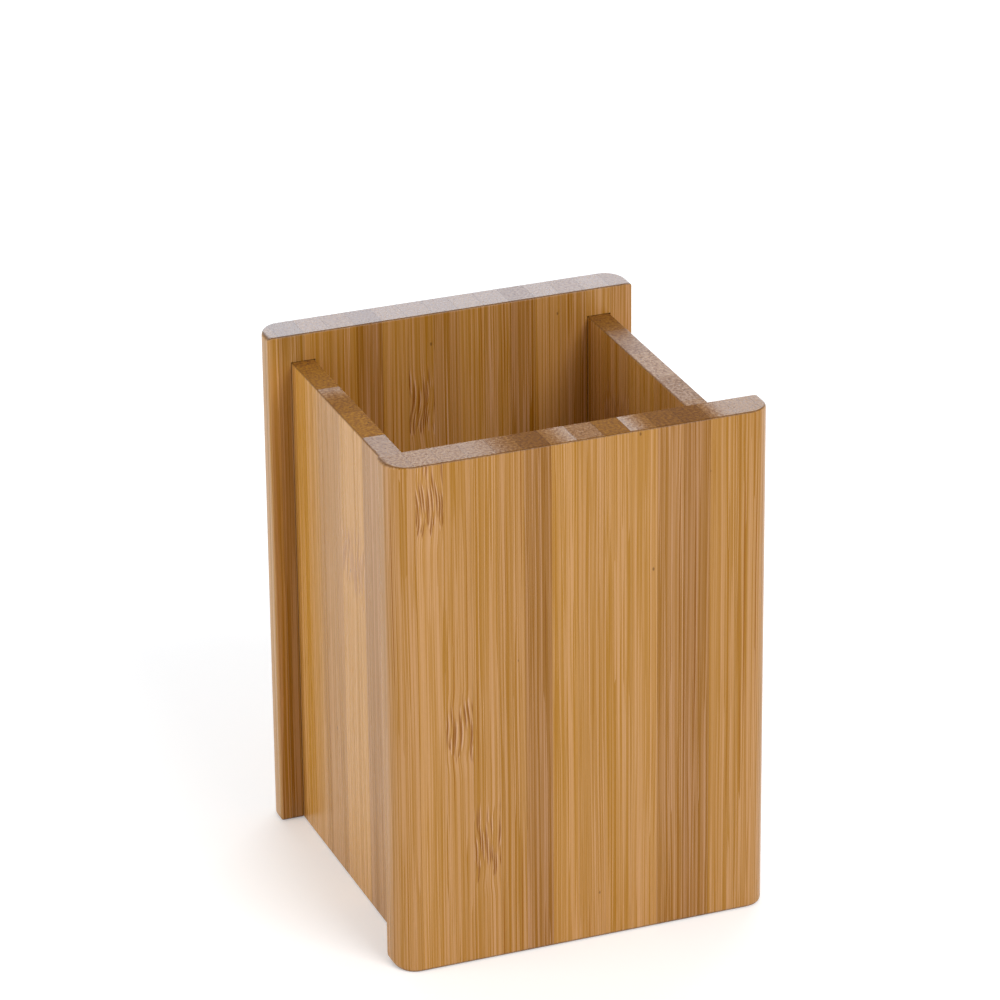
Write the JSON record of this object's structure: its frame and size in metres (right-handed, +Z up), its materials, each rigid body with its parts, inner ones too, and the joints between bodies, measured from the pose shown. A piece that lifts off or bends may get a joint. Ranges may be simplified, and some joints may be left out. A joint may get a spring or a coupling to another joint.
{
  "type": "pen cup",
  "caption": "Open-topped bamboo pen cup: thick front and back panels with rounded edges overhang thinner side panels, all glued up from strips.",
  "frame": {"origin": "middle of the rectangle that the cup's bottom edges stand on, on the table", "axes": "+Z up, +Y from the front panel to the back panel, +X to the right as seen from the front"},
  "size_m": [0.08, 0.08, 0.11],
  "materials": {
    "edge_grain_bamboo": "clear satin lacquer",
    "flat_grain_bamboo": "clear satin lacquer"
  },
  "bodies": {
    "root": {"front_strip_01": "edge_grain_bamboo", "front_strip_02": "edge_grain_bamboo", "front_strip_03": "edge_grain_bamboo", "front_strip_04": "edge_grain_bamboo", "front_strip_05": "edge_grain_bamboo", "front_strip_06": "edge_grain_bamboo", "front_strip_07": "edge_grain_bamboo", "front_strip_08": "edge_grain_bamboo", "front_strip_09": "edge_grain_bamboo", "front_strip_10": "edge_grain_bamboo", "front_strip_11": "edge_grain_bamboo", "front_strip_12": "edge_grain_bamboo", "front_strip_13": "edge_grain_bamboo", "front_strip_14": "edge_grain_bamboo", "front_strip_15": "edge_grain_bamboo", "back_strip_01": "edge_grain_bamboo", "back_strip_02": "edge_grain_bamboo", "back_strip_03": "edge_grain_bamboo", "back_strip_04": "edge_grain_bamboo", "back_strip_05": "edge_grain_bamboo", "back_strip_06": "edge_grain_bamboo", "back_strip_07": "edge_grain_bamboo", "back_strip_08": "edge_grain_bamboo", "back_strip_09": "edge_grain_bamboo", "back_strip_10": "edge_grain_bamboo", "back_strip_11": "edge_grain_bamboo", "back_strip_12": "edge_grain_bamboo", "back_strip_13": "edge_grain_bamboo", "back_strip_14": "edge_grain_bamboo", "back_strip_15": "edge_grain_bamboo", "left_strip_01": "flat_grain_bamboo", "left_strip_02": "flat_grain_bamboo", "left_strip_03": "flat_grain_bamboo", "left_strip_04": "flat_grain_bamboo", "left_strip_05": "flat_grain_bamboo", "left_strip_06": "flat_grain_bamboo", "right_strip_01": "flat_grain_bamboo", "right_strip_02": "flat_grain_bamboo", "right_strip_03": "flat_grain_bamboo", "right_strip_04": "flat_grain_bamboo", "right_strip_05": "flat_grain_bamboo", "right_strip_06": "flat_grain_bamboo", "base_strip_01": "flat_grain_bamboo", "base_strip_02": "flat_grain_bamboo", "base_strip_03": "flat_grain_bamboo", "base_strip_04": "flat_grain_bamboo", "base_strip_05": "flat_grain_bamboo"}
  },
  "joints": []
}
